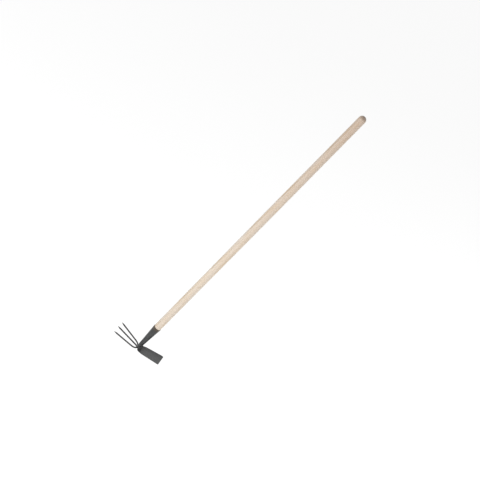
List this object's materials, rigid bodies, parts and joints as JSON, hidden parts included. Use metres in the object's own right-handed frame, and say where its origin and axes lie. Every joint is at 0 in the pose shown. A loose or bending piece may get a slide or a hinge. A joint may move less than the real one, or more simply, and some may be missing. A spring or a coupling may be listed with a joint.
{
  "type": "hoe fork",
  "caption": "Long-handled garden hand tool with a hoe blade on one side of a steel socket head and a fork with straight tines on the other.",
  "frame": {"origin": "on the handle's axis, 150 mm below its domed grip end, where a rack clip holds it", "axes": "+Z along the handle towards the grip end, +X from the handle towards the blade's cutting edge, so the tines point to -X, +Y across the head"},
  "size_m": [0.1835, 0.0778, 1.2328],
  "materials": {
    "clear_ash_wood": "turned ash, sanded, clear matt lacquer",
    "black_lacquered_steel": "thin dark grey lacquer over pressed and drawn steel, semi-matt",
    "lacquered_weld_bead": "rippled weld metal under the same lacquer",
    "zinc_plated_steel": "bright zinc plate"
  },
  "bodies": {
    "root": {"handle": "clear_ash_wood", "hoe_head": "black_lacquered_steel", "outer_tines": "black_lacquered_steel", "middle_tine": "black_lacquered_steel", "tine_weld": "lacquered_weld_bead", "socket_screw": "zinc_plated_steel"}
  },
  "joints": []
}
